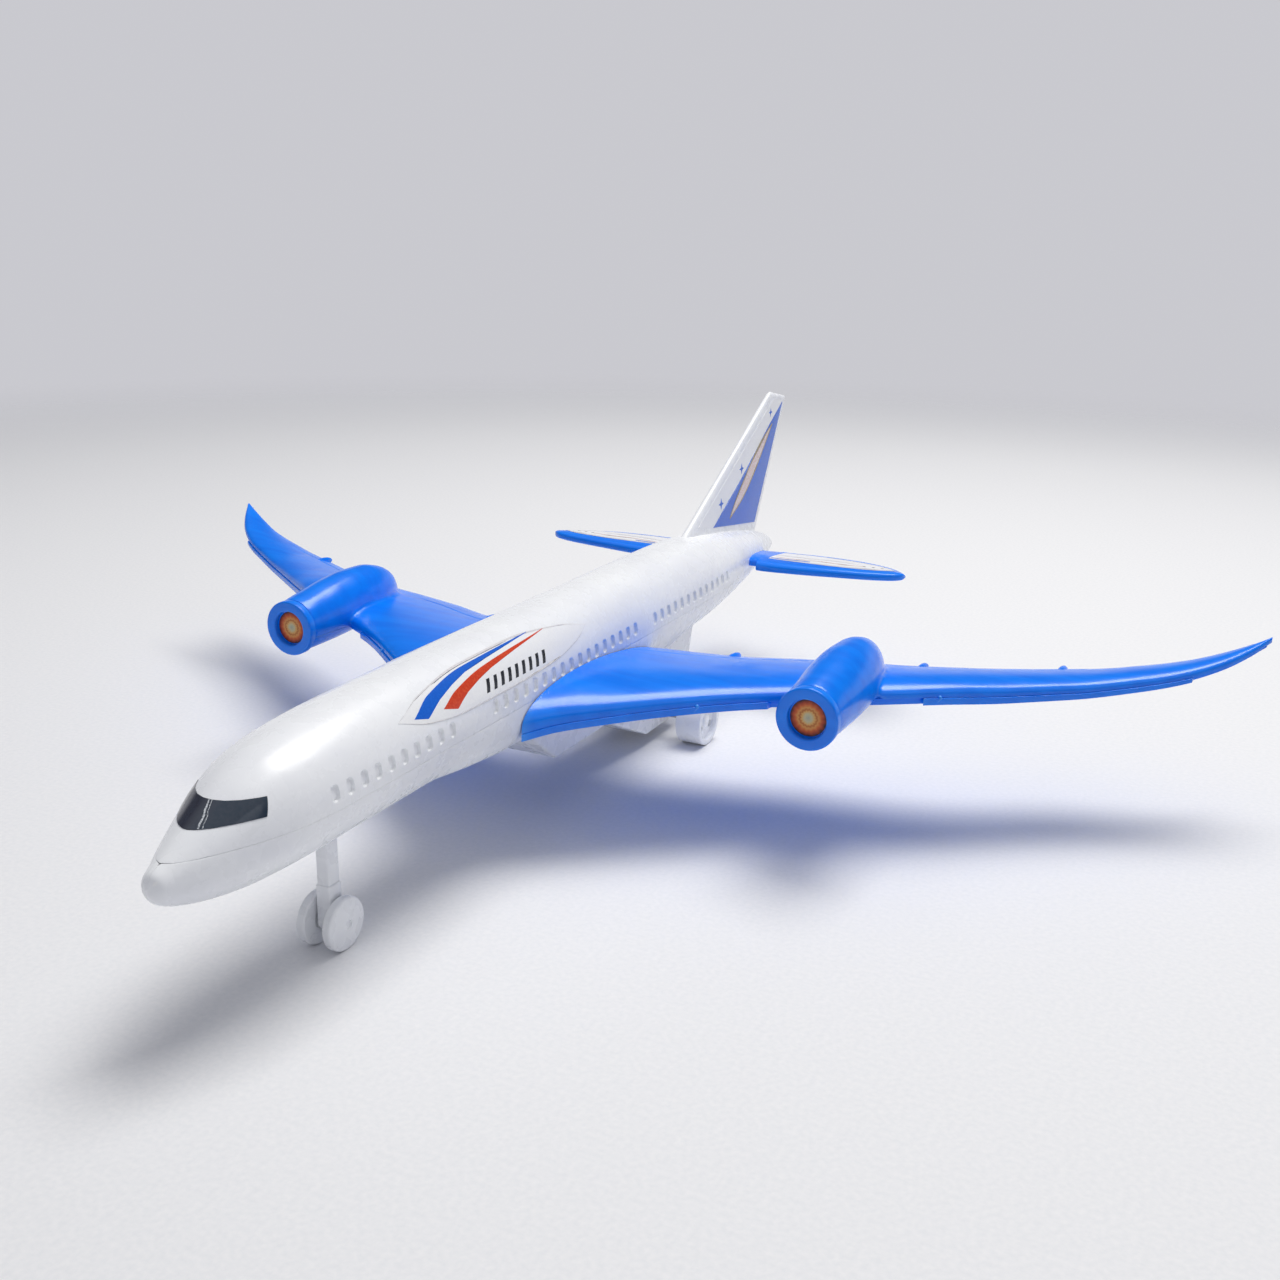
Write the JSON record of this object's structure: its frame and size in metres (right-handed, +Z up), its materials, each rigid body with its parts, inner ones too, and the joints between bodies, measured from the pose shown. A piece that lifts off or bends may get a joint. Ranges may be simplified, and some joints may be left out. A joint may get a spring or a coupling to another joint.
{
  "type": "toy airplane",
  "caption": "Swept-wing toy airliner with two wing engines, a tail fin and tailplanes, rolling on free nose wheels and a friction-driven main axle.",
  "frame": {"origin": "on the ground under the middle of the airliner's box", "axes": "+X towards the left (port) wing tip, +Y towards the tail, +Z up; the nose points along -Y"},
  "size_m": [0.4338, 0.3929, 0.1177],
  "materials": {
    "white_plastic": "glossy moulded styrene",
    "blue_plastic": "glossy moulded styrene",
    "dark_film": "glossy printed film",
    "clear_film": "glossy clear film with printed stripes",
    "printed_film": "glossy printed film",
    "engine_print": "printed paper disc",
    "motor_plastic": "natural acetal",
    "brass": "turned",
    "steel": "drawn"
  },
  "bodies": {
    "airframe": {"belly_housing": "white_plastic", "engine_intake_left": "blue_plastic", "engine_intake_right": "blue_plastic", "engine_sticker_left": "engine_print", "engine_sticker_right": "engine_print", "fin": "white_plastic", "fin_sticker_left": "printed_film", "fin_sticker_right": "printed_film", "fuselage_lower_shell": "white_plastic", "fuselage_upper_shell": "white_plastic", "housing_screw_front": "steel", "housing_screw_rear": "steel", "motor_pillar_1": "steel", "motor_pillar_2": "steel", "motor_plate_left": "motor_plastic", "motor_plate_right": "motor_plastic", "nose_gear_strut": "white_plastic", "shell_screw_front": "steel", "shell_screw_rear": "steel", "side_sticker_left": "clear_film", "side_sticker_right": "clear_film", "tailplane_left": "blue_plastic", "tailplane_right": "blue_plastic", "tailplane_sticker_left": "printed_film", "tailplane_sticker_right": "printed_film", "windscreen_sticker": "dark_film", "wing_cover_left": "blue_plastic", "wing_cover_right": "blue_plastic", "wing_left": "blue_plastic", "wing_right": "blue_plastic"},
    "main_wheels": {"main_axle": "steel", "main_wheel_left": "white_plastic", "main_wheel_right": "white_plastic", "axle_gear": "motor_plastic"},
    "idler": {"idler_gear": "motor_plastic", "idler_shaft": "steel"},
    "flywheel": {"flywheel": "steel", "flywheel_pinion": "brass", "flywheel_shaft": "steel"},
    "nose_wheels": {"nose_axle": "steel", "nose_wheel_left": "white_plastic", "nose_wheel_right": "white_plastic"}
  },
  "joints": [
    {"name": "main_axle_spin", "type": "hinge", "parent": "airframe", "child": "main_wheels", "pos_m": [0, 0.0544, 0.0091], "axis": [1, 0, 0], "continuous": true},
    {"name": "idler_spin", "type": "hinge", "parent": "airframe", "child": "idler", "pos_m": [0, 0.04865, 0.01392], "axis": [1, 0, 0], "continuous": true},
    {"name": "flywheel_spin", "type": "hinge", "parent": "airframe", "child": "flywheel", "pos_m": [0, 0.04548, 0.02072], "axis": [1, 0, 0], "continuous": true},
    {"name": "nose_axle_spin", "type": "hinge", "parent": "airframe", "child": "nose_wheels", "pos_m": [0, -0.1345, 0.00758], "axis": [1, 0, 0], "continuous": true}
  ],
  "couplings": [
    {"joint": "idler_spin", "follows": "flywheel_spin", "ratio": -0.36364},
    {"joint": "main_axle_spin", "follows": "flywheel_spin", "ratio": 0.18182}
  ]
}
